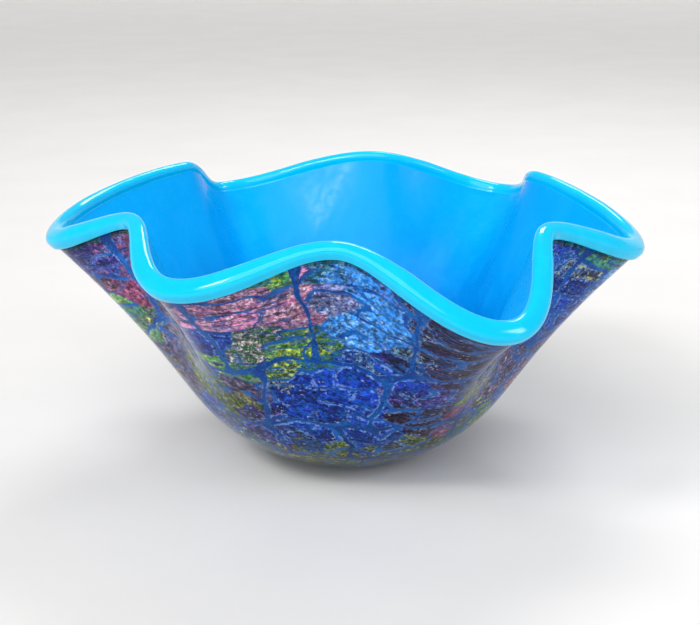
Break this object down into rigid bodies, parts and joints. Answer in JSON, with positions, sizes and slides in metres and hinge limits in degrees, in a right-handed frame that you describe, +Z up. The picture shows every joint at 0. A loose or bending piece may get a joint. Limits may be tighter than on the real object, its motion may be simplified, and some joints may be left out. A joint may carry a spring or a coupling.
{
  "type": "ruffled glass bowl",
  "caption": "Hand-blown cased glass bowl with a ruffled rim, turquoise lining and rolled lip, and a crackled multicolour skin under clear glass.",
  "frame": {"origin": "centre of the ground and polished pontil pad that the bowl stands on", "axes": "+Z up the bowl's axis, -Y toward the bowl's front, +X to the right seen from the front"},
  "size_m": [0.3075, 0.2901, 0.1504],
  "materials": {
    "turquoise": "gloss",
    "cobalt": "gloss",
    "frit_pink": "gloss",
    "frit_sky": "gloss",
    "frit_leaf": "gloss",
    "frit_cobalt": "gloss",
    "frit_plum": "gloss",
    "frit_violet": "gloss",
    "clear": "polished",
    "lip_turquoise": "gloss",
    "pontil_clear": "ground and polished"
  },
  "bodies": {
    "root": {"turquoise_lining": "turquoise", "cobalt_underlay": "cobalt", "foot_plate_01": "frit_cobalt", "foot_plate_02": "frit_cobalt", "foot_plate_03": "frit_leaf", "foot_plate_04": "frit_cobalt", "foot_plate_05": "frit_leaf", "foot_plate_06": "frit_leaf", "foot_plate_07": "frit_leaf", "foot_plate_08": "frit_violet", "belly_plate_01": "frit_plum", "belly_plate_02": "frit_cobalt", "belly_plate_03": "frit_violet", "belly_plate_04": "frit_leaf", "belly_plate_05": "frit_plum", "belly_plate_06": "frit_cobalt", "belly_plate_07": "frit_cobalt", "belly_plate_08": "frit_leaf", "belly_plate_09": "frit_violet", "belly_plate_10": "frit_leaf", "belly_plate_11": "frit_violet", "shoulder_plate_01": "frit_leaf", "shoulder_plate_02": "frit_cobalt", "shoulder_plate_03": "frit_pink", "shoulder_plate_04": "frit_violet", "shoulder_plate_05": "frit_cobalt", "shoulder_plate_06": "frit_pink", "shoulder_plate_07": "frit_leaf", "shoulder_plate_08": "frit_leaf", "shoulder_plate_09": "frit_cobalt", "shoulder_plate_10": "frit_cobalt", "shoulder_plate_11": "frit_pink", "shoulder_plate_12": "frit_pink", "rim_plate_01": "frit_cobalt", "rim_plate_02": "frit_violet", "rim_plate_03": "frit_pink", "rim_plate_04": "frit_sky", "rim_plate_05": "frit_cobalt", "rim_plate_06": "frit_pink", "rim_plate_07": "frit_sky", "rim_plate_08": "frit_leaf", "rim_plate_09": "frit_violet", "rim_plate_10": "frit_pink", "rim_plate_11": "frit_sky", "rim_plate_12": "frit_plum", "rim_plate_13": "frit_sky", "rim_plate_14": "frit_sky", "base_plate": "frit_cobalt", "clear_overlay": "clear", "lip_wrap": "lip_turquoise", "pontil_pad": "pontil_clear"}
  },
  "joints": []
}
